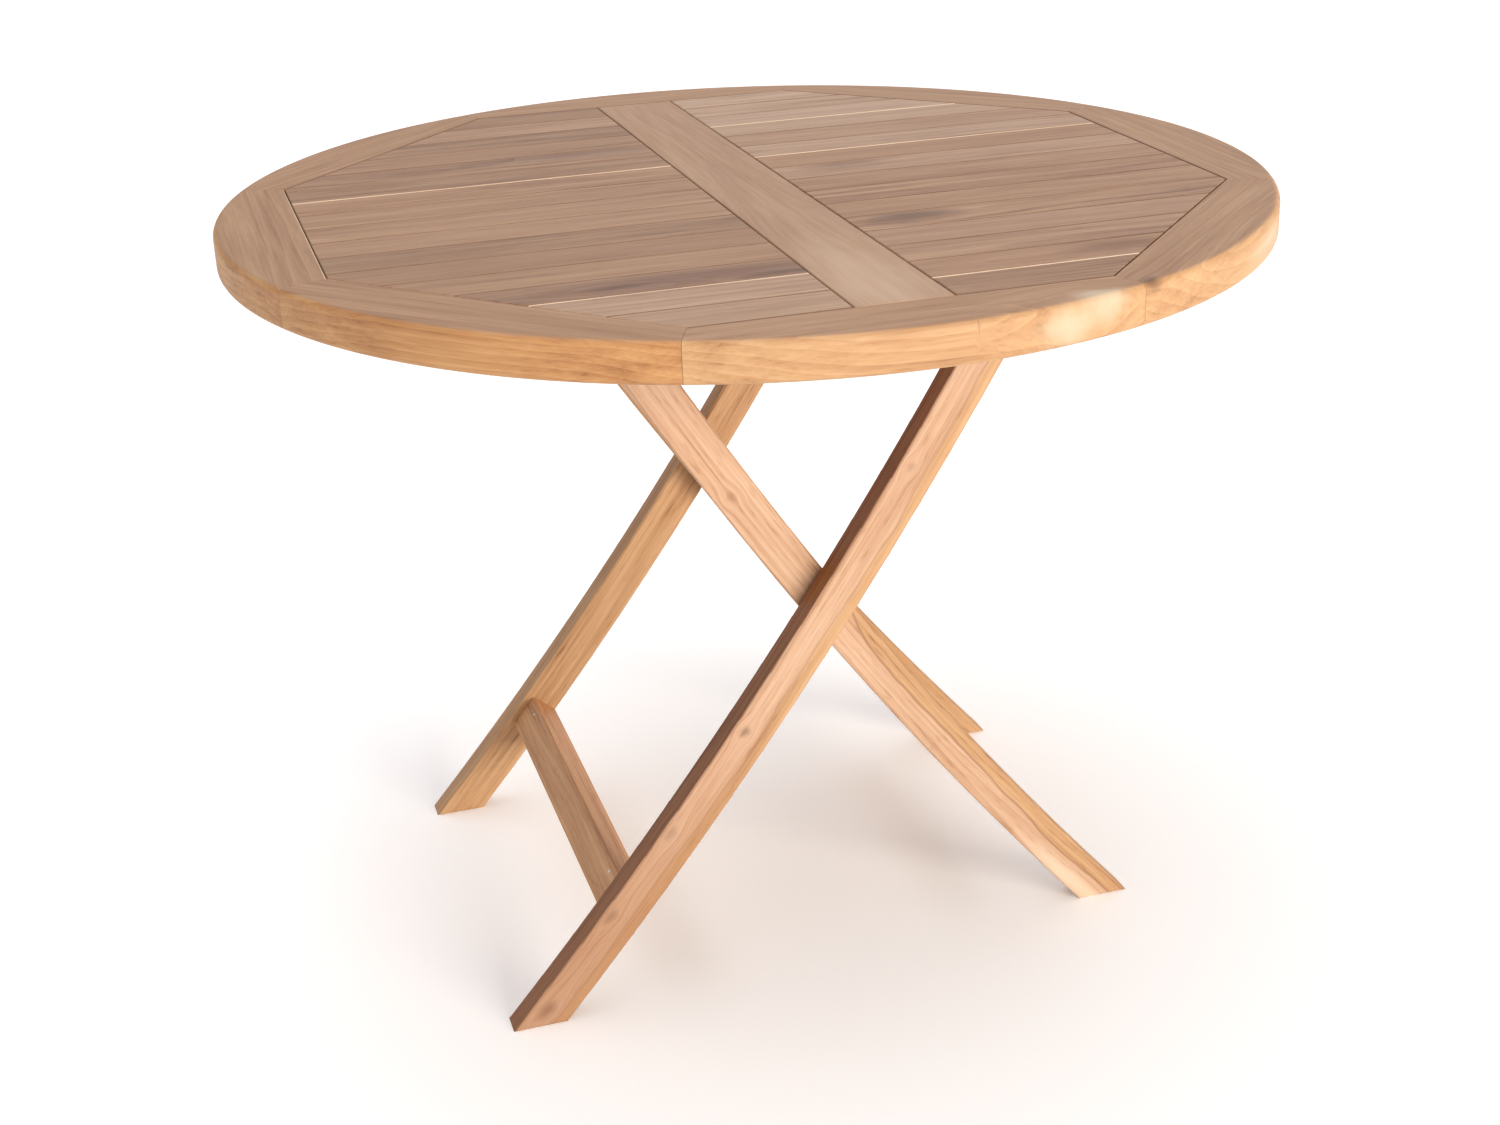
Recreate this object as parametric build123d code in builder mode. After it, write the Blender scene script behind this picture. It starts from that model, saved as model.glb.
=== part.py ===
from build123d import *
import math
import os

os.makedirs("parts", exist_ok=True)

# Driving dimensions, mm and degrees. X runs along the slats, Y along the pivots, Z up from the floor.
top_diameter = 1000.0
table_height = 740.0
rim_thickness = 36.0
rim_round = 6.0
rim_width_x = 80.0
rim_width_y = 69.0
board_width = 84.0
board_thickness = 20.0
slats_per_side = 16
slat_gap = 0.8
edge_gap = 1.2
joint_gap = 0.3
tongue_thickness = 8.0
tongue_length = 8.0
tongue_drop = 0.5
tongue_end_room = 1.0
tongue_room = 0.2
arris = 0.8

leg_depth = 40.0
leg_thickness = 27.0
leg_round = 2.0
leg_bow_radius = 4450.0
cross_lean = 34.85
hinge_drop = 35.5
hinge_reach = 352.0
seat_reach = 305.0
inner_leg_face = 177.0
frame_gap = 3.0

stretcher_from_foot = 141.0
rail_reach = 262.0
rail_length_along_leg = 38.0
rail_depth = 32.0

runner_under_rim = 22.0
runner_nose = 12.0
runner_bevel = 102.0
runner_end_radius = 19.0
hinge_taper_start = 80.0
hinge_taper_end = 30.0
runner_end_gap = 4.0
seat_gap = 0.5
seat_depth = 7.5

bolt_radius = 4.0
running_clearance = 0.05
bolt_head_radius = 8.5
bolt_head_height = 3.0
insert_radius = 6.0
insert_length = 15.0
washer_radius = 11.0
face_clearance = 0.2

tenon_thickness = 10.0
tenon_width = 28.0
tenon_in_leg = 20.0
tenon_in_rail = 40.0
pin_radius = 1.7
pin_length = 26.0
pin_inset = 30.0
pin_from_edge = 9.0

rim_tenon_length = 50.0
rim_tenon_width = 16.0
rim_tenon_from_edge = 14.0
rim_tenon_lift = 7.0
screw_radius = 2.25
screw_head_radius = 4.5
screw_length = 50.0
screw_into_top = 12.0
rim_screw_length = 35.0
screw_past_groove = 5.5
board_screws = (-270.0, 0.0, 130.0)
screw_head_height = 2.5
screw_slot_length = 5.0
screw_slot_width = 1.0
screw_slot_depth = 1.3
head_room = 0.5
tip_room = 0.3
fixed_clearance = 0.05
mortise_room = 0.5
socket_radius = 2.9
socket_depth = 2.2
insert_clearance = 0.02
insert_hole_room = 3.0
washer_clearance = 0.3

# Positions that follow from the driving dimensions.
top_radius = top_diameter / 2
opening_half_x = top_radius - rim_width_x
opening_half_y = top_radius - rim_width_y
rim_tenon_radius = top_radius - rim_tenon_from_edge
rim_bottom = table_height - rim_thickness
board_bottom = table_height - board_thickness
groove_bottom = board_bottom + (board_thickness - tongue_thickness) / 2 - tongue_drop
groove_depth = tongue_length + tongue_end_room
groove_height = tongue_thickness + tongue_room
corner_slope = math.tan(math.radians(22.5))
slat_pitch = 2 * opening_half_y / slats_per_side
half_board = board_width / 2

inner_outer_face = inner_leg_face + leg_thickness
outer_inner_face = inner_outer_face + frame_gap
runner_middle = inner_leg_face + leg_thickness / 2
half_depth = leg_depth / 2
lean = math.radians(cross_lean)
hinge_turn = hinge_reach / leg_bow_radius
hinge_rise = leg_bow_radius * (math.sin(hinge_turn - lean) + math.sin(lean))
cross_height = board_bottom - hinge_drop - hinge_rise


def leg_point(station, offset=0.0):
    """Point (x, z) of the outer leg's curve, station mm above the crossing, offset to the hollow side."""
    turn = station / leg_bow_radius
    along = (leg_bow_radius - offset) * math.sin(turn)
    across = leg_bow_radius - (leg_bow_radius - offset) * math.cos(turn)
    x = along * math.sin(lean) - across * math.cos(lean)
    z = cross_height + along * math.cos(lean) + across * math.sin(lean)
    return x, z


def foot_station(offset):
    """Station at which the leg's curve at this offset meets the floor."""
    rise = cross_height + leg_bow_radius * math.sin(lean)
    turn = lean - math.asin(rise / (leg_bow_radius - offset))
    return turn * leg_bow_radius


def opening_edge(y):
    """Distance in X from the middle to the rim's inner face at this y."""
    slope = (opening_half_x - opening_half_y * corner_slope) / (opening_half_y - opening_half_x * corner_slope)
    return opening_half_x - slope * max(0.0, y - opening_half_x * corner_slope)


stretcher_station = foot_station(0.0) + stretcher_from_foot
hinge_x, hinge_z = leg_point(hinge_reach)
seat_x, seat_z = leg_point(seat_reach)
seat_radius = half_depth + seat_gap
runner_bottom = seat_z + seat_radius - seat_depth
runner_end = opening_edge(runner_middle) + runner_under_rim
runner_upper_end = opening_edge(inner_outer_face) - runner_end_gap
rim_screw_x = -opening_edge(runner_middle) - groove_depth - screw_past_groove
screws = [(rim_screw_x, rim_screw_length)] + [(x, screw_length) for x in board_screws]


def octagon_points(grow):
    """Corners of the top's octagonal opening, each side moved outwards by grow."""
    far_x = opening_half_x + grow
    far_y = opening_half_y + grow
    quarter = [(far_x, far_x * corner_slope), (far_y * corner_slope, far_y)]
    left = [(-x, y) for x, y in reversed(quarter)]
    upper = quarter + left
    return upper + [(-x, -y) for x, y in upper]


def half_octagon(side, grow, board_edge):
    """Corners of the part of the opening on one side of the centre board."""
    far_x = opening_half_x + grow
    far_y = opening_half_y + grow
    right = [
        (board_edge, -far_y),
        (far_y * corner_slope, -far_y),
        (far_x, -far_x * corner_slope),
        (far_x, far_x * corner_slope),
        (far_y * corner_slope, far_y),
        (board_edge, far_y),
    ]
    return [(side * x, y) for x, y in right]


def polygon_edges(points):
    """Closed outline through the points, drawn inside a BuildLine block."""
    Polyline(*points, close=True)


def side_plane(y):
    """Plane facing -Y at this y, drawn with X right and Z up."""
    return Plane(origin=(0, y, 0), x_dir=(1, 0, 0), z_dir=(0, -1, 0))


def leg_outline(reach, mirror):
    """Leg profile: two bowed edges, a horizontal foot and a round end, drawn inside a BuildLine block."""
    low_hollow = foot_station(half_depth)
    low_full = foot_station(-half_depth)
    ends = [
        leg_point(low_hollow, half_depth),
        leg_point((low_hollow + reach) / 2, half_depth),
        leg_point(reach, half_depth),
        leg_point(reach + half_depth),
        leg_point(reach, -half_depth),
        leg_point((low_full + reach) / 2, -half_depth),
        leg_point(low_full, -half_depth),
    ]
    p = [(mirror * x, z) for x, z in ends]
    ThreePointArc(p[0], p[1], p[2])
    ThreePointArc(p[2], p[3], p[4])
    ThreePointArc(p[4], p[5], p[6])
    Line(p[6], p[0])


def rail_place(station, mirror, y):
    """Plane at a rail's middle on the leg's curve, local Y along the leg and Z towards -Y."""
    x, z = leg_point(station, rail_depth / 2 - half_depth)
    turn = mirror * (lean - station / leg_bow_radius)
    return Plane(origin=(mirror * x, y, z), x_dir=(math.cos(turn), 0, -math.sin(turn)), z_dir=(0, -1, 0))


def hollow_side(station, mirror, y):
    """Plane on a rail's face at the hollow side of the leg, looking out of it."""
    x, z = leg_point(station, rail_depth - half_depth)
    turn = station / leg_bow_radius - lean
    out = (-mirror * math.cos(turn), 0, -math.sin(turn))
    return Plane(origin=(mirror * x, y, z), x_dir=(0, 1, 0), z_dir=out)


def rail_ends(face):
    """The two y positions, and the direction from each into the leg."""
    return ((-face, -1), (face, 1))


# Round rim: eight boards, each with a straight inner edge and a round outer edge.
opening = octagon_points(0.0)
for k in range(8):
    start = opening[k]
    end = opening[(k + 1) % 8]
    angle_a = math.radians(22.5 + 45 * k)
    angle_b = math.radians(22.5 + 45 * (k + 1))
    angle_m = (angle_a + angle_b) / 2
    outer_a = (top_radius * math.cos(angle_a), top_radius * math.sin(angle_a))
    outer_m = (top_radius * math.cos(angle_m), top_radius * math.sin(angle_m))
    outer_b = (top_radius * math.cos(angle_b), top_radius * math.sin(angle_b))
    with BuildPart() as rim:
        with BuildSketch(Plane.XY.offset(rim_bottom)):
            with BuildLine():
                Line(start, outer_a)
                ThreePointArc(outer_a, outer_m, outer_b)
                Line(outer_b, end)
                Line(end, start)
            make_face()
            for angle in (22.5 + 45 * k, 67.5 + 45 * k):
                Rectangle(2 * top_diameter, joint_gap, rotation=angle, mode=Mode.SUBTRACT)
        extrude(amount=rim_thickness)
        fillet(rim.edges().filter_by(GeomType.CIRCLE), rim_round)
        inner_edges = rim.faces().sort_by(Axis.Z)[-1].edges().filter_by(GeomType.LINE)
        chamfer(inner_edges.sort_by_distance((0, 0, table_height))[0], arris)
        with BuildSketch(Plane.XY.offset(groove_bottom)):
            with BuildLine():
                polygon_edges(octagon_points(groove_depth))
            make_face()
        extrude(amount=groove_height, mode=Mode.SUBTRACT)
        with BuildSketch(Plane.XY.offset(rim_bottom + rim_tenon_lift)):
            for angle in (22.5 + 45 * k, 67.5 + 45 * k):
                spot = (
                    rim_tenon_radius * math.cos(math.radians(angle)),
                    rim_tenon_radius * math.sin(math.radians(angle)),
                )
                with Locations(spot):
                    Rectangle(rim_tenon_width, rim_tenon_length + 2 * mortise_room, rotation=angle)
        extrude(amount=tenon_thickness, mode=Mode.SUBTRACT)
        with BuildSketch(Plane.XY.offset(rim_bottom)):
            with Locations((rim_screw_x, runner_middle), (rim_screw_x, -runner_middle)):
                Circle(screw_radius + fixed_clearance)
        extrude(amount=board_bottom + screw_into_top + tip_room - rim_bottom, mode=Mode.SUBTRACT)
    rim.part.label = f"rim_board_{k + 1}"
    export_step(rim.part, f"parts/rim_board_{k + 1}.step")

# Loose tenons across the eight rim joints.
with BuildPart() as rim_tenons:
    with BuildSketch(Plane.XY.offset(rim_bottom + rim_tenon_lift)):
        for k in range(8):
            angle = 22.5 + 45 * k
            spot = (
                rim_tenon_radius * math.cos(math.radians(angle)),
                rim_tenon_radius * math.sin(math.radians(angle)),
            )
            with Locations(spot):
                Rectangle(rim_tenon_width, rim_tenon_length, rotation=angle)
    extrude(amount=tenon_thickness)
rim_tenons.part.label = "rim_tenons"
export_step(rim_tenons.part, "parts/rim_tenons.step")

# Centre board between the two fields of slats, tongued into the rim and grooved for the slats.
with BuildPart() as centre_board:
    with BuildSketch(Plane.XY.offset(board_bottom)):
        Rectangle(board_width, 2 * (opening_half_y - edge_gap))
    extrude(amount=board_thickness)
    chamfer(centre_board.faces().sort_by(Axis.Z)[-1].edges(), arris)
    with BuildSketch(Plane.XY.offset(groove_bottom)):
        with Locations((half_board, 0), (-half_board, 0)):
            Rectangle(2 * groove_depth, 2 * top_radius)
    extrude(amount=groove_height, mode=Mode.SUBTRACT)
    with BuildSketch(Plane.XY.offset(groove_bottom)):
        Rectangle(board_width - 2 * groove_depth, 2 * (opening_half_y + tongue_length))
    extrude(amount=tongue_thickness)
    with BuildSketch(Plane.XY.offset(board_bottom)):
        with Locations((0, runner_middle), (0, -runner_middle)):
            Circle(screw_radius + fixed_clearance)
    extrude(amount=screw_into_top + tip_room, mode=Mode.SUBTRACT)
centre_board.part.label = "centre_board"
export_step(centre_board.part, "parts/centre_board.step")

# Slats, each with a tongue round its ends that sits in the grooves.
for side, name in ((-1, "left"), (1, "right")):
    for i in range(slats_per_side):
        low = -opening_half_y + i * slat_pitch + slat_gap / 2
        high = low + slat_pitch - slat_gap
        tongue_low = low - (groove_depth if i == 0 else 0)
        tongue_high = high + (groove_depth if i == slats_per_side - 1 else 0)
        with BuildPart() as slat:
            with BuildSketch(Plane.XY.offset(board_bottom)):
                with BuildLine():
                    polygon_edges(half_octagon(side, -edge_gap, half_board + edge_gap))
                make_face()
                with Locations((0, (low + high) / 2)):
                    Rectangle(2 * top_diameter, high - low, mode=Mode.INTERSECT)
            extrude(amount=board_thickness)
            chamfer(slat.faces().sort_by(Axis.Z)[-1].edges(), arris)
            with BuildSketch(Plane.XY.offset(groove_bottom)):
                with BuildLine():
                    polygon_edges(half_octagon(side, tongue_length, half_board - tongue_length))
                make_face()
                with Locations((0, (tongue_low + tongue_high) / 2)):
                    Rectangle(2 * top_diameter, tongue_high - tongue_low, mode=Mode.INTERSECT)
            extrude(amount=tongue_thickness)
            if low < runner_middle < high or low < -runner_middle < high:
                with BuildSketch(Plane.XY.offset(board_bottom)):
                    for x in board_screws:
                        with Locations((x, runner_middle), (x, -runner_middle)):
                            Circle(screw_radius + fixed_clearance)
                extrude(amount=screw_into_top + tip_room, mode=Mode.SUBTRACT)
        slat.part.label = f"slat_{name}_{i + 1:02d}"
        export_step(slat.part, f"parts/slat_{name}_{i + 1:02d}.step")

# Two runners under the top, each with the hinge hole at one side and the notch for an inner leg at the other.
for side, name in ((-1, "front"), (1, "back")):
    with BuildPart() as runner:
        with BuildSketch(side_plane(side * runner_middle)):
            with BuildLine():
                Polyline(
                    (hinge_x + runner_end_radius, hinge_z),
                    (hinge_x + runner_end_radius, board_bottom),
                    (-runner_upper_end, board_bottom),
                    (-runner_upper_end, rim_bottom),
                    (-runner_end, rim_bottom),
                    (-runner_end, rim_bottom - runner_nose),
                    (-runner_end + runner_bevel, runner_bottom),
                    (hinge_x - hinge_taper_start, runner_bottom),
                    (hinge_x - hinge_taper_end, hinge_z - runner_end_radius),
                    (hinge_x, hinge_z - runner_end_radius),
                )
                CenterArc((hinge_x, hinge_z), runner_end_radius, -90, 90)
            make_face()
            with Locations((-seat_x, seat_z)):
                Circle(seat_radius, mode=Mode.SUBTRACT)
            with Locations((hinge_x, hinge_z)):
                Circle(bolt_radius + running_clearance, mode=Mode.SUBTRACT)
        extrude(amount=leg_thickness / 2, both=True)
        for x, length in screws:
            head_z = board_bottom + screw_into_top - length
            with BuildSketch(Plane.XY.offset(head_z)):
                with Locations((x, side * runner_middle)):
                    Circle(screw_head_radius + head_room)
            extrude(amount=-rim_bottom, mode=Mode.SUBTRACT)
            with BuildSketch(Plane.XY.offset(head_z)):
                with Locations((x, side * runner_middle)):
                    Circle(screw_radius + fixed_clearance)
            extrude(amount=length, mode=Mode.SUBTRACT)
    runner.part.label = f"runner_{name}"
    export_step(runner.part, f"parts/runner_{name}.step")

# Wood screws that fix the runners to the rim, the slats and the centre board.
with BuildPart() as runner_screws:
    for side in (-1, 1):
        for x, length in screws:
            head_z = board_bottom + screw_into_top - length
            with BuildSketch(Plane.XY.offset(head_z)):
                with Locations((x, side * runner_middle)):
                    Circle(screw_radius)
            extrude(amount=length)
            with BuildSketch(Plane.XY.offset(head_z)):
                with Locations((x, side * runner_middle)):
                    Circle(screw_head_radius)
            extrude(amount=-screw_head_height)
            with BuildSketch(Plane.XY.offset(head_z - screw_head_height)):
                with Locations((x, side * runner_middle)):
                    Rectangle(screw_slot_length, screw_slot_width)
            extrude(amount=screw_slot_depth, mode=Mode.SUBTRACT)
runner_screws.part.label = "runner_screws"
export_step(runner_screws.part, "parts/runner_screws.step")


def cut_mortise(station, mirror, y, direction, depth):
    """Cut a loose tenon's pocket from this y, going depth mm in the direction 1 or -1 along Y."""
    with BuildSketch(rail_place(station, mirror, y)) as pocket:
        Rectangle(tenon_thickness, tenon_width)
    extrude(pocket.sketch, amount=-direction * depth, mode=Mode.SUBTRACT)


# Four bowed legs from one pattern; the inner pair stops short and seats in the runners.
for kind, reach, face, mirror in (
    ("outer", hinge_reach, outer_inner_face, 1),
    ("inner", seat_reach, inner_leg_face, -1),
):
    for side, name in ((-1, "front"), (1, "back")):
        middle = side * (face + leg_thickness / 2)
        with BuildPart() as leg:
            with BuildSketch(side_plane(middle)):
                with BuildLine():
                    leg_outline(reach, mirror)
                make_face()
            extrude(amount=leg_thickness / 2, both=True)
            fillet(leg.faces().filter_by(Axis.Y).edges(), leg_round)
            inside = side * face
            cut_mortise(stretcher_station, mirror, inside, side, tenon_in_leg)
            if kind == "outer":
                with BuildSketch(side_plane(inside)):
                    with Locations((0, cross_height), (hinge_x, hinge_z)):
                        Circle(insert_radius + insert_clearance)
                extrude(amount=-side * (insert_length + insert_hole_room), mode=Mode.SUBTRACT)
            else:
                cut_mortise(rail_reach, mirror, inside, side, tenon_in_leg)
                with BuildSketch(side_plane(inside)):
                    with Locations((0, cross_height)):
                        Circle(bolt_radius + running_clearance)
                extrude(amount=-side * leg_thickness, mode=Mode.SUBTRACT)
        leg.part.label = f"{kind}_leg_{name}"
        export_step(leg.part, f"parts/{kind}_leg_{name}.step")

# Cross rails: the lower stretcher of each frame and the upper rail of the inner frame.
for name, station, face, mirror in (
    ("outer_stretcher", stretcher_station, outer_inner_face, 1),
    ("inner_stretcher", stretcher_station, inner_leg_face, -1),
    ("inner_top_rail", rail_reach, inner_leg_face, -1),
):
    with BuildPart() as rail:
        with BuildSketch(rail_place(station, mirror, face)):
            Rectangle(rail_depth, rail_length_along_leg)
        extrude(amount=2 * face)
        fillet(rail.edges().filter_by(Axis.Y), leg_round)
        for y, out in rail_ends(face):
            cut_mortise(station, mirror, y, -out, tenon_in_rail + mortise_room)
            with BuildSketch(hollow_side(station, mirror, y - out * pin_inset)):
                with Locations((0, -mirror * (rail_length_along_leg / 2 - pin_from_edge))):
                    Circle(pin_radius + fixed_clearance)
            extrude(amount=-pin_length, mode=Mode.SUBTRACT)
    rail.part.label = name
    export_step(rail.part, f"parts/{name}.step")

# Loose tenons between rails and legs, and the steel pins that lock them.
for kind, mirror, face, stations in (
    ("outer", 1, outer_inner_face, (stretcher_station,)),
    ("inner", -1, inner_leg_face, (stretcher_station, rail_reach)),
):
    with BuildPart() as tenons:
        for station in stations:
            for y, out in rail_ends(face):
                with BuildSketch(rail_place(station, mirror, y + out * tenon_in_leg)):
                    Rectangle(tenon_thickness, tenon_width)
                extrude(amount=out * (tenon_in_leg + tenon_in_rail))
        for station in stations:
            for y, out in rail_ends(face):
                with BuildSketch(hollow_side(station, mirror, y - out * pin_inset)):
                    with Locations((0, -mirror * (rail_length_along_leg / 2 - pin_from_edge))):
                        Circle(pin_radius + fixed_clearance)
                extrude(amount=-pin_length, mode=Mode.SUBTRACT)
    tenons.part.label = f"{kind}_frame_tenons"
    export_step(tenons.part, f"parts/{kind}_frame_tenons.step")
    with BuildPart() as pins:
        for station in stations:
            for y, out in rail_ends(face):
                with BuildSketch(hollow_side(station, mirror, y - out * pin_inset)):
                    with Locations((0, -mirror * (rail_length_along_leg / 2 - pin_from_edge))):
                        Circle(pin_radius)
                extrude(amount=-pin_length)
    pins.part.label = f"{kind}_frame_pins"
    export_step(pins.part, f"parts/{kind}_frame_pins.step")

# Pivot hardware at the two crossings and the two top hinges.
pivots = ((0.0, cross_height), (hinge_x, hinge_z))
head_face = inner_leg_face - face_clearance
bolt_end = outer_inner_face + insert_length
with BuildPart() as pivot_bolts:
    for side in (-1, 1):
        with BuildSketch(side_plane(side * head_face)):
            with Locations(*pivots):
                Circle(bolt_radius)
        extrude(amount=-side * (bolt_end - head_face))
        with BuildSketch(side_plane(side * head_face)):
            with Locations(*pivots):
                Circle(bolt_head_radius)
        extrude(amount=side * bolt_head_height)
        with BuildSketch(side_plane(side * (head_face - bolt_head_height))):
            with Locations(*pivots):
                RegularPolygon(socket_radius, 6)
        extrude(amount=-side * socket_depth, mode=Mode.SUBTRACT)
pivot_bolts.part.label = "pivot_bolts"
export_step(pivot_bolts.part, "parts/pivot_bolts.step")

with BuildPart() as spacer_washers:
    for side in (-1, 1):
        with BuildSketch(side_plane(side * outer_inner_face)):
            with Locations(*pivots):
                Circle(washer_radius)
            with Locations(*pivots):
                Circle(bolt_radius + washer_clearance, mode=Mode.SUBTRACT)
        extrude(amount=side * (frame_gap - face_clearance))
spacer_washers.part.label = "spacer_washers"
export_step(spacer_washers.part, "parts/spacer_washers.step")

with BuildPart() as threaded_inserts:
    for side in (-1, 1):
        with BuildSketch(side_plane(side * outer_inner_face)):
            with Locations(*pivots):
                Circle(insert_radius)
            with Locations(*pivots):
                Circle(bolt_radius + insert_clearance, mode=Mode.SUBTRACT)
        extrude(amount=-side * insert_length)
threaded_inserts.part.label = "threaded_inserts"
export_step(threaded_inserts.part, "parts/threaded_inserts.step")
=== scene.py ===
import math

import bpy
import numpy as np
from mathutils import Euler, Matrix, Vector


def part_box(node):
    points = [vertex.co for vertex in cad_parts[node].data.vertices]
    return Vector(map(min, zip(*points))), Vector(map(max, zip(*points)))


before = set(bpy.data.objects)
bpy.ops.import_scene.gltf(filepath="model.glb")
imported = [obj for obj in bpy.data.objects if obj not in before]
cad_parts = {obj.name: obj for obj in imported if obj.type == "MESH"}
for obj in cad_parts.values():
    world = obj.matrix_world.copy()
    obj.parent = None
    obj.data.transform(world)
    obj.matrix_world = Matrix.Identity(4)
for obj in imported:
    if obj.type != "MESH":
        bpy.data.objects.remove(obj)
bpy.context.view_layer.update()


# ---- Outer legs -------------------------------------------------------------
# The two long bowed legs of the wide frame, each sawn out of one teak plank,
# eased along its edges and sanded. Their feet stand at the left, and their
# upper ends carry the table top.

def linear(colour):
    """sRGB hex to linear: c/12.92 below 0.04045, else ((c + 0.055) / 1.055) to the power 2.4."""
    shown = np.array([int(colour[i:i + 2], 16) for i in (1, 3, 5)]) / 255
    light = np.where(shown <= 0.04045, shown / 12.92, ((shown + 0.055) / 1.055) ** 2.4)
    return (*light.tolist(), 1.0)


def add(material, kind, joins=None, stops=None, **settings):
    """Adds one node: settings are its choices, joins its numbers or what is linked to it."""
    made = material.node_tree.nodes.new(kind)
    for name, value in settings.items():
        setattr(made, name, value)
    for socket, value in (joins or {}).items():
        if isinstance(value, bpy.types.NodeSocket):
            material.node_tree.links.new(value, made.inputs[socket])
        else:
            made.inputs[socket].default_value = value
    if stops:
        elements = made.color_ramp.elements
        while len(elements) < len(stops):
            elements.new(0.5)
        for element, (place, colour) in zip(elements, stops):
            element.position = place
            element.color = linear(colour)
    return made


def fresh(name):
    """An empty material with its surface shader joined to the output."""
    material = bpy.data.materials.new(name)
    material.use_nodes = True
    material.node_tree.nodes.clear()
    shader = add(material, "ShaderNodeBsdfPrincipled")
    add(material, "ShaderNodeOutputMaterial", {"Surface": shader.outputs["BSDF"]})
    return material, shader


def grain_place(material, place, turn, bow):
    """The place in the piece, turned so that X runs along the grain.

    On a bowed piece, the height across is the bow's radius less the distance from its centre.
    """
    turned = add(material, "ShaderNodeMapping", {"Vector": place, "Rotation": turn}).outputs[0]
    if not bow:
        return turned
    centre_x, centre_z, radius = bow
    flat = add(material, "ShaderNodeVectorMath", {0: place, 1: (1, 0, 1)}, operation="MULTIPLY")
    reach = add(material, "ShaderNodeVectorMath", {0: flat.outputs[0], 1: (centre_x, 0, centre_z)},
                operation="DISTANCE")
    across = add(material, "ShaderNodeMath", {0: reach.outputs["Value"], 1: -1.0, 2: radius},
                 operation="MULTIPLY_ADD")
    parts = add(material, "ShaderNodeSeparateXYZ", {0: turned})
    return add(material, "ShaderNodeCombineXYZ",
               {0: parts.outputs[0], 1: parts.outputs[1], 2: across.outputs[0]}).outputs[0]


def knot_spots(material, turned, knots):
    """Ragged spots drawn out along the grain, and the place that bends the grain round them.

    A spot is full where (distance in radii + 0.9 x noise) is under 0.55, and gone past 1.6.
    Across the grain, places near it move towards its middle, by three quarters at most, and
    places past 3 radii stay. That spreads the grain's lines out round the spot.
    """
    moved = turned
    spots = []
    for spot, radius, drawn, strength, knot_colour in knots:
        away = add(material, "ShaderNodeVectorMath", {0: turned, 1: spot}, operation="SUBTRACT")
        in_radii = add(material, "ShaderNodeVectorMath",
                       {0: away.outputs[0], 1: (1 / (radius * drawn), 1 / radius, 1 / radius)},
                       operation="MULTIPLY")
        ragged = add(material, "ShaderNodeTexNoise",
                     {"Vector": in_radii.outputs[0], "Scale": 1.3, "Detail": 3.0})
        far = add(material, "ShaderNodeVectorMath", {0: in_radii.outputs[0]}, operation="LENGTH")
        rough_far = add(material, "ShaderNodeMath",
                        {0: ragged.outputs["Fac"], 1: 0.9, 2: far.outputs["Value"]},
                        operation="MULTIPLY_ADD")
        near = add(material, "ShaderNodeMapRange",
                   {"Value": rough_far.outputs[0], "From Min": 0.55, "From Max": 1.6,
                    "To Min": 1.0, "To Max": 0.0}, interpolation_type="SMOOTHSTEP")
        pull = add(material, "ShaderNodeMapRange",
                   {"Value": far.outputs["Value"], "From Min": 0.0, "From Max": 3.0,
                    "To Min": -0.75, "To Max": 0.0}, interpolation_type="SMOOTHSTEP")
        drag = add(material, "ShaderNodeVectorMath", {0: away.outputs[0], 1: (0, 1, 1)},
                   operation="MULTIPLY")
        drag = add(material, "ShaderNodeVectorMath",
                   {0: drag.outputs[0], "Scale": pull.outputs[0]}, operation="SCALE")
        moved = add(material, "ShaderNodeVectorMath", {0: moved, 1: drag.outputs[0]},
                    operation="ADD").outputs[0]
        shade = add(material, "ShaderNodeMath", {0: near.outputs[0], 1: strength},
                    operation="MULTIPLY").outputs[0]
        spots.append((shade, knot_colour))
    return moved, spots


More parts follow.
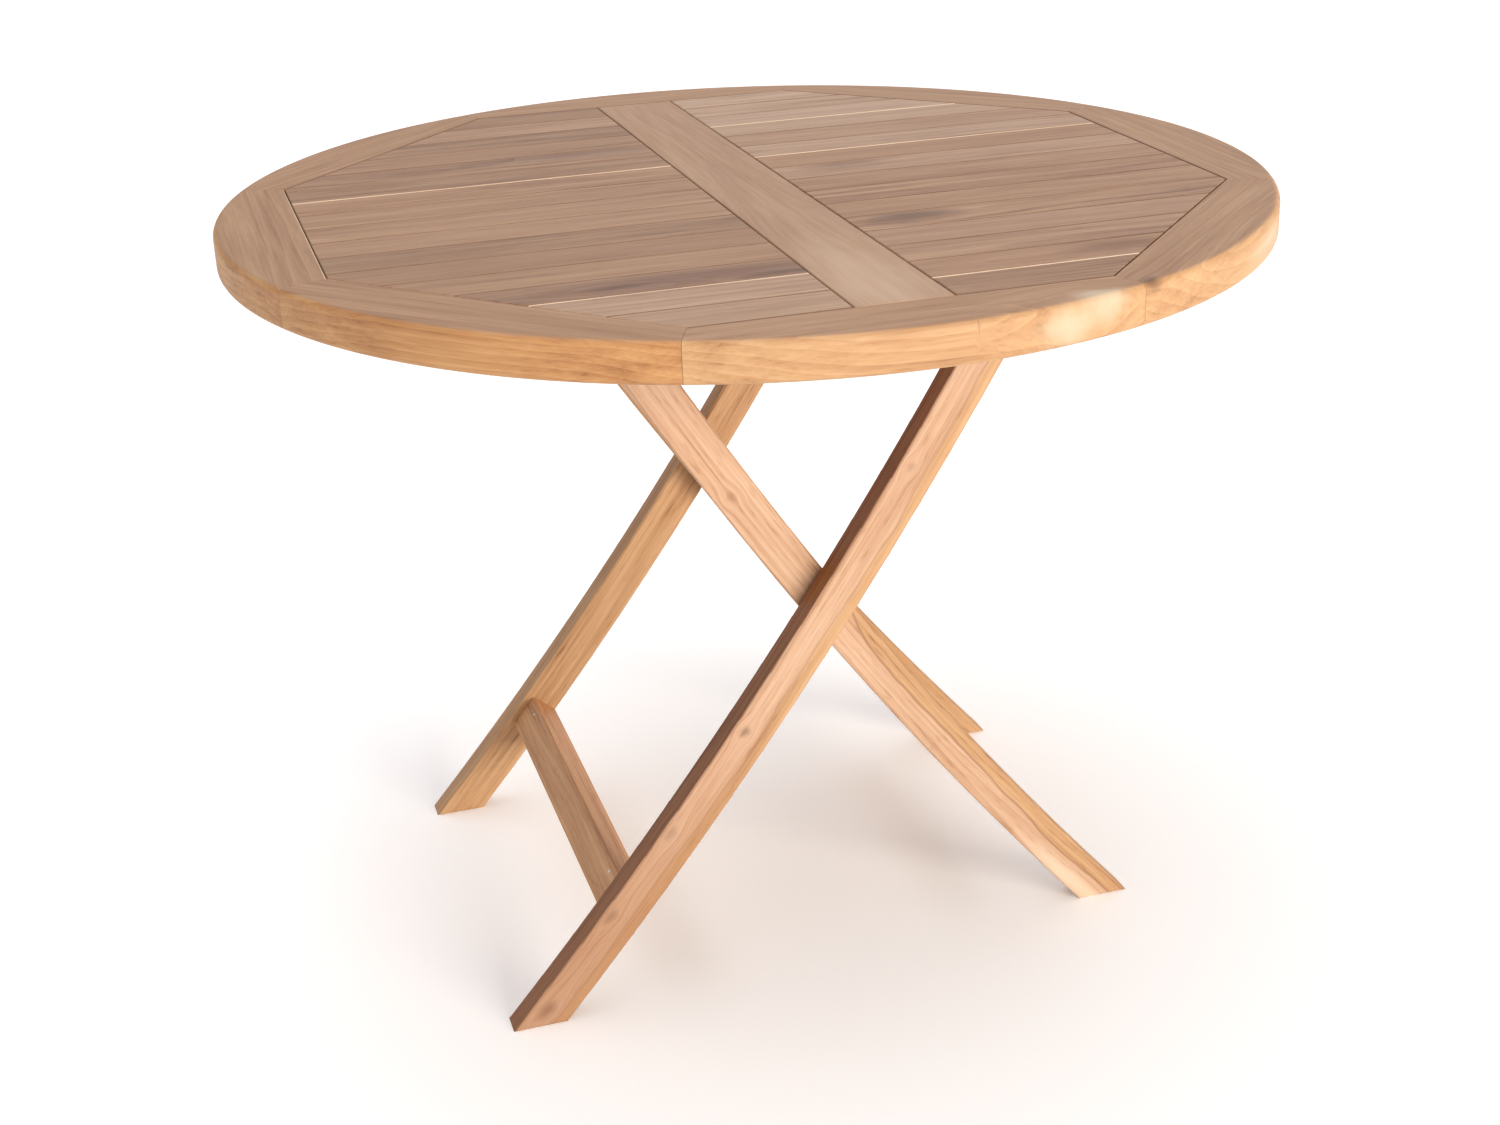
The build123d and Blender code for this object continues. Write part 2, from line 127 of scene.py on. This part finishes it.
def growth(material, sawn, rings, ring_show, band_show, fibre_show):
    """The wood's tone, 0 pale to 1 dark, and its fibres.

    Rings are circles round a wandering pith line: the sawtooth of (distance / ring width). Bands,
    fibres and pores are noises drawn out along the grain. The tone is the sum of the four.
    """
    # rings and bands are drawn out about seventeen times along the grain
    long_grain = add(material, "ShaderNodeVectorMath", {0: sawn, 1: (0.06, 1, 1)},
                     operation="MULTIPLY").outputs[0]
    wander = add(material, "ShaderNodeTexNoise",
                 {"Vector": long_grain, "Scale": 1000 / 55, "Detail": 2.0, "Roughness": 0.5})
    centred = add(material, "ShaderNodeVectorMath",
                  {0: wander.outputs["Color"], 1: (0.5, 0.5, 0.5)}, operation="SUBTRACT")
    bent = add(material, "ShaderNodeVectorMath",
               {0: centred.outputs[0], 1: (0.0, 0.022, 0.022), 2: long_grain},
               operation="MULTIPLY_ADD").outputs[0]
    # the wave repeats every 2 pi / (20 x scale) metres
    ring = add(material, "ShaderNodeTexWave",
               {"Vector": bent, "Scale": 2 * math.pi / 20 / (rings / 1000), "Distortion": 1.6,
                "Detail": 3.0, "Detail Scale": 0.35, "Detail Roughness": 0.62},
               wave_type="RINGS", rings_direction="X", wave_profile="SAW")
    band = add(material, "ShaderNodeTexNoise",
               {"Vector": bent, "Scale": 1000 / 13, "Detail": 4.0, "Roughness": 0.62})
    # vessels are 0.3 mm wide, too fine to show, so the streaks are drawn 2.2 mm apart
    streaky = add(material, "ShaderNodeVectorMath", {0: sawn, 1: (0.022, 1, 1)},
                  operation="MULTIPLY").outputs[0]
    fibre = add(material, "ShaderNodeTexNoise",
                {"Vector": streaky, "Scale": 1000 / 2.2, "Detail": 3.0, "Roughness": 0.6})
    # open pores are dark dashes, drawn 1.8 mm apart for the same reason
    dashed = add(material, "ShaderNodeVectorMath", {0: sawn, 1: (0.09, 1, 1)},
                 operation="MULTIPLY").outputs[0]
    dash = add(material, "ShaderNodeTexNoise",
               {"Vector": dashed, "Scale": 1000 / 1.8, "Detail": 1.0, "Roughness": 0.4})
    # how far the tone can shift: rings by half their share each way, bands and streaks by all of
    # it each way, and pores by all of it towards dark
    ring_share, band_share = 0.42 * ring_show, 0.42 * band_show
    streak_share, pore_share = 0.14 * fibre_show, 0.2 * fibre_show
    tone = add(material, "ShaderNodeMath",
               {0: ring.outputs["Fac"], 1: ring_share, 2: 0.5 - ring_share / 2},
               operation="MULTIPLY_ADD")
    banded = add(material, "ShaderNodeMapRange",
                 {"Value": band.outputs["Fac"], "From Min": 0.28, "From Max": 0.72,
                  "To Min": -band_share, "To Max": band_share})
    tone = add(material, "ShaderNodeMath", {0: tone.outputs[0], 1: banded.outputs[0]},
               operation="ADD")
    streaks = add(material, "ShaderNodeMapRange",
                  {"Value": fibre.outputs["Fac"], "From Min": 0.3, "From Max": 0.7,
                   "To Min": -streak_share, "To Max": streak_share})
    tone = add(material, "ShaderNodeMath", {0: tone.outputs[0], 1: streaks.outputs[0]},
               operation="ADD")
    pores = add(material, "ShaderNodeMapRange",
                {"Value": dash.outputs["Fac"], "From Min": 0.58, "From Max": 0.74,
                 "To Min": 0.0, "To Max": pore_share})
    tone = add(material, "ShaderNodeMath", {0: tone.outputs[0], 1: pores.outputs[0]},
               operation="ADD", use_clamp=True)
    return tone.outputs[0], fibre.outputs["Fac"]


def sapwood(material, colour, tone, sawn, turned, sap):
    """The other wood past a boundary across the piece, with a thin dark line along it.

    The boundary is at the height less 20 mm x (noise - 0.5), which strays about 3 mm each way.
    """
    height, softness, sap_stops, line, (leaves_from, left_by) = sap
    stray_depth = 0.02
    middle = height + stray_depth / 2
    strayed = add(material, "ShaderNodeVectorMath", {0: sawn, 1: (0.16, 0.3, 0.3)},
                  operation="MULTIPLY")
    stray = add(material, "ShaderNodeTexNoise",
                {"Vector": strayed.outputs[0], "Scale": 1000 / 22, "Detail": 3.0})
    side = add(material, "ShaderNodeSeparateXYZ", {0: turned})
    level = add(material, "ShaderNodeMath",
                {0: stray.outputs["Fac"], 1: stray_depth, 2: side.outputs[2]},
                operation="MULTIPLY_ADD")
    # between these two places along the grain the boundary leaves the piece over its edge
    leaving = add(material, "ShaderNodeMapRange",
                  {"Value": side.outputs[0], "From Min": leaves_from, "From Max": left_by,
                   "To Min": 0.0, "To Max": 0.03}, interpolation_type="SMOOTHSTEP")
    level = add(material, "ShaderNodeMath", {0: level.outputs[0], 1: leaving.outputs[0]},
                operation="SUBTRACT")
    share = add(material, "ShaderNodeMapRange",
                {"Value": level.outputs[0], "From Min": middle - softness,
                 "From Max": middle + softness}, interpolation_type="SMOOTHSTEP")
    other = add(material, "ShaderNodeValToRGB", {"Fac": tone}, stops=sap_stops)
    colour = add(material, "ShaderNodeMix",
                 {0: share.outputs[0], 6: colour, 7: other.outputs["Color"]},
                 data_type="RGBA").outputs[2]
    # the line fades out 2 mm to each side of its darkest place
    darkest, fades_over = middle + 0.0004, 0.002
    rise = add(material, "ShaderNodeMapRange",
               {"Value": level.outputs[0], "From Min": darkest - fades_over, "From Max": darkest},
               interpolation_type="SMOOTHSTEP")
    fall = add(material, "ShaderNodeMapRange",
               {"Value": level.outputs[0], "From Min": darkest, "From Max": darkest + fades_over,
                "To Min": 1.0, "To Max": 0.0}, interpolation_type="SMOOTHSTEP")
    ink = add(material, "ShaderNodeMath", {0: rise.outputs[0], 1: fall.outputs[0]},
              operation="MULTIPLY")
    ink = add(material, "ShaderNodeMath", {0: ink.outputs[0], 1: line}, operation="MULTIPLY")
    return add(material, "ShaderNodeMix", {0: ink.outputs[0], 6: colour, 7: linear("#7A4E2E")},
               data_type="RGBA").outputs[2]


def sanded_teak(name, stops, turn=(0, 0, 0), cut=(0, 0, 0), rings=5.0, ring_show=0.5,
                band_show=0.5, fibre_show=1.0, bow=None, sap=None, knots=(), faces=(), foot_shade=None):
    """Bare sanded teak: matt and warm, with wavy dark late wood, fine streaks and open pores.

    stops: its run of colours, pale early wood to dark late wood. turn: brings the grain onto X.
    cut: where in the log the piece was sawn (m). rings: ring width in mm.
    ring_show, band_show, fibre_show: how strongly rings, bands and fine streaks show.
    bow: (centre x, centre z, radius) of a piece sawn along a curve.
    sap: (height, softness, stops, line strength, (leaves from, left by)) of the other wood.
    knots: (place, radius, times drawn out, strength, colour) each.
    faces: (direction, least cosine, stops) of faces that look that way and get painted shade, sheen and
    highlights.
    foot_shade: (height, share) of the painted shade that darkens the feet towards the floor.
    """
    material, shader = fresh(name)
    coordinates = add(material, "ShaderNodeTexCoord")
    place = coordinates.outputs["Object"]
    turned = grain_place(material, place, turn, bow)
    moved, spots = knot_spots(material, turned, knots)
    sawn = add(material, "ShaderNodeVectorMath", {0: moved, 1: cut}, operation="ADD").outputs[0]
    tone, fibre = growth(material, sawn, rings, ring_show, band_show, fibre_show)
    colour = add(material, "ShaderNodeValToRGB", {"Fac": tone}, stops=stops).outputs["Color"]
    if sap:
        colour = sapwood(material, colour, tone, sawn, turned, sap)
    # faces that look one way are painted other colours: painted shade, sheen and highlights
    for toward, least, face_stops in faces:
        facing = add(material, "ShaderNodeVectorMath",
                     {0: coordinates.outputs["Normal"], 1: toward}, operation="DOT_PRODUCT")
        share = add(material, "ShaderNodeMapRange",
                    {"Value": facing.outputs["Value"], "From Min": least, "From Max": 0.98},
                    interpolation_type="SMOOTHSTEP")
        other = add(material, "ShaderNodeValToRGB", {"Fac": tone}, stops=face_stops)
        colour = add(material, "ShaderNodeMix",
                     {0: share.outputs[0], 6: colour, 7: other.outputs["Color"]},
                     data_type="RGBA").outputs[2]
    for shade, knot_colour in spots:
        colour = add(material, "ShaderNodeMix", {0: shade, 6: colour, 7: linear(knot_colour)},
                     data_type="RGBA").outputs[2]
    # painted shade: the colour darkens towards the floor, to #885835 at the foot
    if foot_shade:
        up_to, share = foot_shade
        height = add(material, "ShaderNodeSeparateXYZ", {0: place})
        low = add(material, "ShaderNodeMapRange",
                  {"Value": height.outputs[2], "From Min": 0.0, "From Max": up_to,
                   "To Min": share, "To Max": 0.0}, interpolation_type="SMOOTHSTEP")
        colour = add(material, "ShaderNodeMix", {0: low.outputs[0], 6: colour, 7: linear("#885835")},
                     data_type="RGBA").outputs[2]
    rough = add(material, "ShaderNodeMapRange",
                {"Value": fibre, "From Min": 0.3, "From Max": 0.7, "To Min": 0.5, "To Max": 0.66})
    bump = add(material, "ShaderNodeBump", {"Height": fibre, "Strength": 0.35, "Distance": 0.0004})
    links = material.node_tree.links
    links.new(colour, shader.inputs["Base Color"])
    links.new(rough.outputs[0], shader.inputs["Roughness"])
    links.new(bump.outputs[0], shader.inputs["Normal"])
    shader.inputs["IOR"].default_value = 1.5
    return material


def finish_node(name, material):
    """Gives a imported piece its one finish."""
    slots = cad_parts[name].data.materials
    slots.clear()
    slots.append(material)


# the legs lean by this much where they cross, and bow round a centre far out to one side
cross_lean = math.radians(34.85)
bow_radius = 4.45
bow_x = -bow_radius * math.cos(cross_lean)
bow_z = 0.388 + bow_radius * math.sin(cross_lean)
hollow_face = (-math.cos(cross_lean), 0, math.sin(cross_lean))

# the woods of the legs: pinkish and golden, and a deep brown for painted shade on a hollow face
pink_stops = [(0.06, "#CBAA90"), (0.4, "#C09B7D"), (0.65, "#B48B6B"), (0.95, "#946845")]
golden_stops = [(0.06, "#C8A176"), (0.4, "#BA9066"), (0.65, "#AD8157"), (0.95, "#875B34")]
hollow_shade_stops = [(0.06, "#A97642"), (0.4, "#955F33"), (0.65, "#865029"), (0.95, "#653717")]
bark_brown = "#5E4230"

# the front leg: golden along its full side and pink along its hollow side, with five small knots;
# its hollow face is painted deep brown and its feet darker, both as painted shade. A knot's place
# is (along the leg, across the table, from the leg's middle line towards its hollow side), and
# along is 0 nearest to the middle of the floor.
outer_bow = (bow_x, bow_z, bow_radius)
outer_turn = (0, math.pi / 2 - cross_lean, 0)
finish_node("outer_leg_front", sanded_teak(
    "sanded_teak_outer_leg_front", golden_stops, turn=outer_turn, cut=(0.31, 0.27, 0.02),
    rings=6.0, ring_show=0.5, band_show=0.55, bow=outer_bow, foot_shade=(0.38, 0.55),
    # painted shade: the hollow face, shaded by the top, is painted deep brown
    sap=(-0.008, 0.003, pink_stops, 0.3, (2, 3)), faces=((hollow_face, 0.5, hollow_shade_stops),),
    knots=(((0.179, -0.234, 0.008), 0.006, 1.3, 0.6, bark_brown),
           ((0.058, -0.234, 0.012), 0.007, 1.6, 0.35, bark_brown),
           ((-0.042, -0.234, 0.012), 0.007, 1.8, 0.55, bark_brown),
           ((-0.155, -0.234, 0.006), 0.009, 1.8, 0.7, bark_brown),
           ((0.473, -0.234, 0.008), 0.006, 1.2, 0.25, bark_brown))))
# the back leg: plain golden wood
finish_node("outer_leg_back", sanded_teak(
    "sanded_teak_outer_leg_back", golden_stops, turn=outer_turn, cut=(1.7, -0.14, 0.05),
    rings=6.0, ring_show=0.5, band_show=0.6, bow=outer_bow))


# ---- Outer stretcher and its joints ----------------------------------------
# One teak rail between the outer legs near their feet, joined to both by loose
# tenons and locked by a steel pin through each joint.

# the rails' wood is a little redder and paler than the legs'
rail_stops = [(0.06, "#DAA97B"), (0.4, "#CB996A"), (0.65, "#BE895B"), (0.95, "#98653F")]
cross_turn = (0, 0, -math.pi / 2)
finish_node("outer_stretcher", sanded_teak(
    "sanded_teak_outer_stretcher", rail_stops, turn=cross_turn, cut=(0.2, 0.11, 0.04)))
# planed tenons: even mid-brown wood, with less contrast than in the sanded pieces
tenon_teak = sanded_teak(
    "planed_teak_tenons", [(0.1, "#BE9870"), (0.9, "#9C7550")], turn=cross_turn, cut=(0.5, 0.2, 0.1))
finish_node("outer_frame_tenons", tenon_teak)


def turned_metal(name, stops, rough):
    """Metal turned on a lathe: fine marks are noise in its roughness, handling in its colour."""
    material, shader = fresh(name)
    place = add(material, "ShaderNodeTexCoord").outputs["Object"]
    # turning marks are 0.1 mm apart, drawn 0.6 mm apart so that they show
    marks = add(material, "ShaderNodeTexNoise",
                {"Vector": place, "Scale": 1000 / 0.6, "Detail": 3.0})
    worn = add(material, "ShaderNodeTexNoise", {"Vector": place, "Scale": 1000 / 9, "Detail": 3.0})
    ramp = add(material, "ShaderNodeValToRGB", {"Fac": worn.outputs["Fac"]}, stops=stops)
    gloss = add(material, "ShaderNodeMapRange",
                {"Value": marks.outputs["Fac"], "To Min": rough - 0.08, "To Max": rough + 0.1})
    links = material.node_tree.links
    links.new(ramp.outputs["Color"], shader.inputs["Base Color"])
    links.new(gloss.outputs[0], shader.inputs["Roughness"])
    shader.inputs["Metallic"].default_value = 1.0
    return material


# stainless steel: light neutral grey, with a soft broken gleam
steel = turned_metal("turned_stainless_steel", [(0.3, "#C9C9C6"), (0.7, "#DDDDDA")], 0.3)
finish_node("outer_frame_pins", steel)


# ---- Inner frame --------------------------------------------------------------
# The narrower pair of bowed teak legs, leaning the other way between the outer
# ones, with round upper ends that sit in the runners' notches. A stretcher and
# an upper rail are tenoned and pinned between them.

inner_bow = (-bow_x, bow_z, bow_radius)
inner_turn = (0, math.pi / 2 + cross_lean, 0)
cream = "#EBD3B8"
# the front leg: pink wood with one small knot, and in its lower half a golden strip along the
# hollow side, set off by a dark line, and a cream streak near the foot
finish_node("inner_leg_front", sanded_teak(
    "sanded_teak_inner_leg_front", pink_stops, turn=inner_turn, cut=(0.9, 0.19, 0.03),
    rings=6.0, bow=inner_bow, sap=(0.003, 0.003, golden_stops, 0.55, (0.18, 0.42)),
    knots=(((0.462, -0.204, -0.005), 0.006, 1.3, 0.3, bark_brown),
           ((-0.13, -0.204, -0.012), 0.015, 7.0, 0.5, cream))))
# the back leg and the rails: plain wood, golden and redder
finish_node("inner_leg_back", sanded_teak(
    "sanded_teak_inner_leg_back", golden_stops, turn=inner_turn, cut=(2.4, -0.22, 0.06),
    rings=6.0, bow=inner_bow))
finish_node("inner_stretcher", sanded_teak(
    "sanded_teak_inner_stretcher", rail_stops, turn=cross_turn, cut=(1.2, 0.15, 0.07)))
finish_node("inner_top_rail", sanded_teak(
    "sanded_teak_inner_top_rail", rail_stops, turn=cross_turn, cut=(1.9, 0.09, 0.12)))
finish_node("inner_frame_tenons", tenon_teak)
finish_node("inner_frame_pins", steel)


# ---- Pivots -------------------------------------------------------------------
# Flat-headed steel bolts, two at the crossing and two at the top's hinge. Each
# has a washer between the pieces that it joins, and is screwed into a brass
# insert in an outer leg.

finish_node("pivot_bolts", steel)
finish_node("spacer_washers", steel)
# brass: yellow, a little glossier than the steel
finish_node("threaded_inserts", turned_metal(
    "turned_brass", [(0.3, "#C9A15A"), (0.7, "#D9B56C")], 0.28))


# ---- Runners -------------------------------------------------------------------
# Two planed teak battens under the top, screwed up into the rim, the slats and
# the centre board. An outer leg hinges at one end of each, and a notch near the
# other end takes an inner leg.

# planed teak of a plain mid-brown, a little darker than the legs
runner_stops = [(0.1, "#BE976C"), (0.45, "#AE8459"), (0.9, "#8C633D")]
for runner, cut in (("runner_front", (0.4, 0.12, 0.08)), ("runner_back", (1.5, 0.2, 0.05))):
    finish_node(runner, sanded_teak("planed_teak_" + runner, runner_stops, cut=cut))
finish_node("runner_screws", steel)


# ---- Centre board --------------------------------------------------------------
# The wide teak board across the middle of the top, tongued into the rim at both
# ends and grooved for the slats along its sides.

# one quiet, evenly grained board, paler towards its front end
board_stops = [(0.05, "#BC9879"), (0.4, "#AE8969"), (0.65, "#A27B5C"), (0.95, "#815D41")]
finish_node("centre_board", sanded_teak(
    "sanded_teak_centre_board", board_stops, turn=cross_turn, cut=(0.7, 0.03, 0.09),
    rings=7.0, ring_show=0.25, band_show=0.35, fibre_show=0.45,
    knots=(((-0.36, 0.0, 0.74), 0.06, 3.0, 0.6, "#CBAA8C"),)))


# ---- Slats ----------------------------------------------------------------------
# Sixteen narrow teak slats on each side of the centre board, with tongues at
# their ends that sit in the grooves of the board and the rim. Each comes from
# another plank, so each has its own tone.

def toned(stops, pale):
    """The same run of colours, every channel carried towards white (or black when below zero)."""
    carried = []
    for place, colour in stops:
        parts = np.array([int(colour[i:i + 2], 16) for i in (1, 3, 5)], float)
        goal = 255 if pale > 0 else 0
        parts += (goal - parts) * abs(pale)
        carried.append((place, "#%02X%02X%02X" % tuple(parts.round().astype(int))))
    return carried


# the tones, how pale each slat is, run from the front to the back
slat_stops = [(0.05, "#B99373"), (0.38, "#A88160"), (0.65, "#987052"), (0.97, "#694831")]
left_tones = (0.1, 0.12, -0.06, 0.02, -0.03, -0.07, 0.03, 0.02, 0.02, 0.0, -0.05, -0.05, -0.03, -0.07,
              0.05, -0.08)
right_tones = (-0.06, 0.0, 0.03, 0.05, 0.0, 0.0, 0.0, -0.02, 0.08, 0.0, 0.12, 0.05, 0.14, 0.17, 0.12,
               0.16)
# darker heartwood patches: long ovals where the saw met the heart of the branch
dark_hearts = {
    "slat_right_05": (((0.1, -0.182, 0.74), 0.026, 2.4, 0.9, "#70503B"),),
    "slat_right_02": (((0.225, -0.346, 0.74), 0.024, 3.0, 0.75, "#80593F"),),
    "slat_right_09": (((0.115, 0.04, 0.74), 0.02, 3.0, 0.6, "#75513A"),),
    "slat_left_12": (((-0.12, 0.2, 0.74), 0.02, 6.0, 0.7, "#7A5A48"),),
    "slat_left_03": (((-0.13, -0.296, 0.74), 0.032, 8.0, 0.75, "#7A5744"),
                     ((-0.06, -0.31, 0.74), 0.01, 5.0, 0.7, bark_brown),
                     ((-0.2, -0.3, 0.74), 0.009, 4.0, 0.7, bark_brown))}
# the eased front edges: pale fresh wood with a painted highlight where an arris catches the light,
# else painted shade in the seam beside it
fresh_arris_highlight = [(0.2, "#F3DCC0"), (0.9, "#DDB996")]
seam_shade_stops = [(0.2, "#8F6A4D"), (0.9, "#6B4A33")]
highlit_fresh_edges = ("slat_left_11", "slat_right_11", "slat_left_03", "slat_right_14", "slat_right_02")
toward_front = (0, -math.sqrt(0.5), math.sqrt(0.5))
# how boldly each slat's bands show, plain quarter-sawn ones among flamed ones
left_boldness = (0.55, 0.75, 0.9, 0.4, 0.3, 0.75, 0.35, 0.6, 0.45, 0.75, 0.7, 0.85, 0.4, 0.9, 0.55, 0.6)
right_boldness = [left_boldness[(number * 5 + 2) % 16] for number in range(1, 17)]
cuts = iter(np.random.default_rng(11).uniform((0, -0.09, 0.015), (9, 0.09, 0.12), (32, 3)))
for side, tones, boldness in (("left", left_tones, left_boldness),
                              ("right", right_tones, right_boldness)):
    for number, (pale, bold) in enumerate(zip(tones, boldness), 1):
        name = "slat_%s_%02d" % (side, number)
        middle = (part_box(name)[0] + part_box(name)[1]) / 2
        cut = next(cuts) - np.array((0, middle.y, middle.z))
        # each slat's front arris gets a painted highlight or painted seam shade
        arris = fresh_arris_highlight if name in highlit_fresh_edges else seam_shade_stops
        finish_node(name, sanded_teak(
            "sanded_teak_" + name, toned(slat_stops, pale), cut=tuple(cut.tolist()),
            rings=6.0, ring_show=bold * 0.8, band_show=bold, fibre_show=0.5 + bold * 0.4,
            faces=((toward_front, 0.85, arris),), knots=dark_hearts.get(name, ())))


# ---- Rim -------------------------------------------------------------------------
# Eight teak boards mitred into a ring and joined by hidden tenons, with the
# outer edge sawn round and eased. Board 1 looks between right and back, and
# the others follow it round to the left.

# the sides stay golden, while the top is painted greyer and darker, a painted sheen and shade
rim_stops = [(0.05, "#CDA77E"), (0.4, "#C0966A"), (0.65, "#B18459"), (0.95, "#8A5D36")]
rim_top_sheen_shade_stops = [(0.05, "#BA9472"), (0.4, "#AA8361"), (0.65, "#9C7453"), (0.95, "#795539")]
# the two left boards came from a redder plank
amber_stops = [(0.05, "#CFA270"), (0.4, "#BC8A57"), (0.65, "#A97546"), (0.95, "#7C4C28")]
# a cream patch and a short dark mark in the front board, a dark knot and a pale streak in the next
rim_knots = {6: (((0.113, -0.486, 0.72), 0.021, 1.5, 0.75, "#CCB79B"),
                 ((0.148, -0.472, 0.734), 0.021, 1.4, 0.85, "#CCB79B"),
                 ((0.033, -0.495, 0.735), 0.008, 0.15, 0.45, bark_brown)),
             7: (((-0.182, -0.463, 0.74), 0.01, 1.6, 0.75, bark_brown),
                 ((0.05, -0.498, 0.72), 0.016, 5.0, 0.5, "#CCBBA3"))}
# the inner arris of the left boards is pale fresh wood with a painted highlight, the others have
# painted shade in the seam
inner_arris = {4: fresh_arris_highlight, 5: fresh_arris_highlight}
rim_cuts = np.random.default_rng(5).uniform((0, -0.06, 0.02), (9, 0.06, 0.12), (8, 3))
for number in range(1, 9):
    name = "rim_board_%d" % number
    # the way the board faces, in degrees from the right, is a whole number of eighth turns
    middle = (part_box(name)[0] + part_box(name)[1]) / 2
    way = round(math.degrees(math.atan2(middle.y, middle.x)) / 45) * 45
    turn = (0, 0, -math.radians(way + 90))
    own = Euler(turn).to_matrix() @ middle
    cut = rim_cuts[number - 1] - np.array((0, own.y, own.z))
    inward = (-math.cos(math.radians(way)) * math.sqrt(0.5),
              -math.sin(math.radians(way)) * math.sqrt(0.5), math.sqrt(0.5))
    finish_node(name, sanded_teak(
        "sanded_teak_" + name, amber_stops if number in (4, 5) else rim_stops, turn=turn,
        cut=tuple(cut.tolist()), rings=6.5, ring_show=0.45, band_show=0.5, fibre_show=0.5,
        # painted sheen and shade: the top faces are painted greyer and darker than the sides
        faces=(((0, 0, 1), 0.8, rim_top_sheen_shade_stops),
               # painted highlight or painted seam shade along the inner arris
               (inward, 0.9, inner_arris.get(number, seam_shade_stops))),
        knots=rim_knots.get(number, ())))
finish_node("rim_tenons", tenon_teak)


# ---- Floor, light and camera -------------------------------------------------------
# A plain studio: a white painted floor, one soft lamp low in front, a dimmer one
# above, a faint one behind, and a pale sky in place of walls.

def pale_floor(half, cells):
    """A flat grid of cells x cells squares at z = 0, with sides of twice half (m)."""
    steps = np.linspace(-half, half, cells + 1)
    x, y = np.meshgrid(steps, steps)
    points = np.stack([x.ravel(), y.ravel(), np.zeros(x.size)], 1)
    corner = (np.arange(cells)[:, None] * (cells + 1) + np.arange(cells)).ravel()
    faces = np.stack([corner, corner + 1, corner + cells + 2, corner + cells + 1], 1)
    mesh = bpy.data.meshes.new("studio_floor")
    mesh.from_pydata(points.tolist(), [], faces.tolist())
    floor = bpy.data.objects.new("studio_floor", mesh)
    bpy.context.scene.collection.objects.link(floor)
    return floor


# matt white paint, lit a little from within so that shadows on it stay faint
floor = pale_floor(20.0, 12)
floor_paint, floor_shader = fresh("matt_white_paint")
floor_shader.inputs["Base Color"].default_value = linear("#FCFCFB")
floor_shader.inputs["Roughness"].default_value = 0.9
floor_shader.inputs["Emission Color"].default_value = linear("#FFFFFF")
floor_shader.inputs["Emission Strength"].default_value = 0.16
floor.data.materials.append(floor_paint)

# the sky: white at the horizon like a lit studio wall, dimmer overhead
scene = bpy.context.scene
world = bpy.data.worlds.new("pale_studio")
world.use_nodes = True
sky = world.node_tree.nodes["Background"]
looked_at = add(world, "ShaderNodeTexCoord").outputs["Generated"]
height = add(world, "ShaderNodeSeparateXYZ", {0: looked_at}).outputs[2]
wall = add(world, "ShaderNodeMapRange",
           {"Value": height, "From Min": 0.02, "From Max": 0.3, "To Min": 0.98, "To Max": 0.2},
           interpolation_type="SMOOTHSTEP")
world.node_tree.links.new(wall.outputs[0], sky.inputs["Strength"])
sky.inputs["Color"].default_value = linear("#FFFFFF")
scene.world = world


def soft_lamp(name, toward, spread, strength, colour):
    """A wide far lamp: light of that strength (W/m2) coming from the direction toward."""
    lamp = bpy.data.lights.new(name, "SUN")
    lamp.angle = math.radians(spread)
    lamp.energy = strength
    lamp.color = linear(colour)[:3]
    holder = bpy.data.objects.new(name, lamp)
    holder.matrix_world = Vector(toward).to_track_quat("Z", "Y").to_matrix().to_4x4()
    scene.collection.objects.link(holder)


soft_lamp("front_lamp", (0.42, -0.88, 0.13), 40, 4.5, "#FFF6EA")
soft_lamp("overhead_lamp", (-0.1, 0.1, 1.0), 80, 2.0, "#F8F9FF")
soft_lamp("back_lamp", (0.5, 0.8, 0.55), 60, 0.45, "#F4F7FF")

# the camera: where it stands, its angles in radians and its lens in mm on a 36 mm wide frame
eye = (-0.5786, -1.9450, 1.2160)
yaw, pitch, roll = 0.285, 0.4053, 0.0367
forward = Vector((math.sin(yaw) * math.cos(pitch), math.cos(yaw) * math.cos(pitch), -math.sin(pitch)))
level = Vector((math.cos(yaw), -math.sin(yaw), 0))
down = forward.cross(level)
right = level * math.cos(roll) + down * math.sin(roll)
up = -(down * math.cos(roll) - level * math.sin(roll))
camera = bpy.data.objects.new("camera", bpy.data.cameras.new("camera"))
camera.data.sensor_width = 36
camera.data.lens = 51.35
camera.matrix_world = Matrix.Translation(eye) @ Matrix((right, up, -forward)).transposed().to_4x4()
scene.collection.objects.link(camera)
scene.camera = camera
scene.view_settings.view_transform = "Standard"
